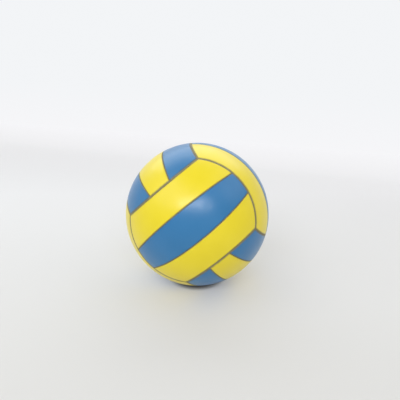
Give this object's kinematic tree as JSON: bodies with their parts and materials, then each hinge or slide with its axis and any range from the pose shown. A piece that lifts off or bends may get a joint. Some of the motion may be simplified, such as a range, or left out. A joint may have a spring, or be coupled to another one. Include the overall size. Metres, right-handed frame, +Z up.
{
  "type": "water polo ball",
  "caption": "Small round inflatable ball with yellow and blue strip panels, dark flush seams between them and a recessed needle valve for pumping it up.",
  "frame": {"origin": "centre of the ball", "axes": "+Z up as the ball lies, -Z to the point it rests on, -Y to the side the picture shows"},
  "size_m": [0.132, 0.132, 0.132],
  "materials": {
    "yellow_cover": "satin moulded rubber",
    "blue_cover": "satin moulded rubber",
    "carcass_rubber": "dark matte rubber",
    "winding_thread": "wound nylon thread",
    "bladder_rubber": "smooth rubber",
    "valve_rubber": "smooth rubber",
    "core_rubber": "soft smooth rubber"
  },
  "bodies": {
    "ball": {"front_lower_panel": "yellow_cover", "front_middle_panel": "blue_cover", "front_upper_panel": "yellow_cover", "back_lower_panel": "yellow_cover", "back_middle_panel": "blue_cover", "back_upper_panel": "yellow_cover", "right_rear_panel": "yellow_cover", "right_middle_panel": "blue_cover", "right_front_panel": "yellow_cover", "left_rear_panel": "yellow_cover", "left_middle_panel": "blue_cover", "left_front_panel": "yellow_cover", "top_left_panel": "blue_cover", "top_middle_panel": "yellow_cover", "top_right_panel": "blue_cover", "bottom_left_panel": "blue_cover", "bottom_middle_panel": "yellow_cover", "bottom_right_panel": "blue_cover", "ribbed_carcass": "carcass_rubber", "thread_winding": "winding_thread", "bladder": "bladder_rubber", "valve_body": "valve_rubber"},
    "valve_core": {"valve_core": "core_rubber"}
  },
  "joints": [
    {"name": "valve_core_pull", "type": "slide", "parent": "ball", "child": "valve_core", "axis": [0.1167, 0.9641, -0.2385], "range_m": [0, 0.016]}
  ]
}
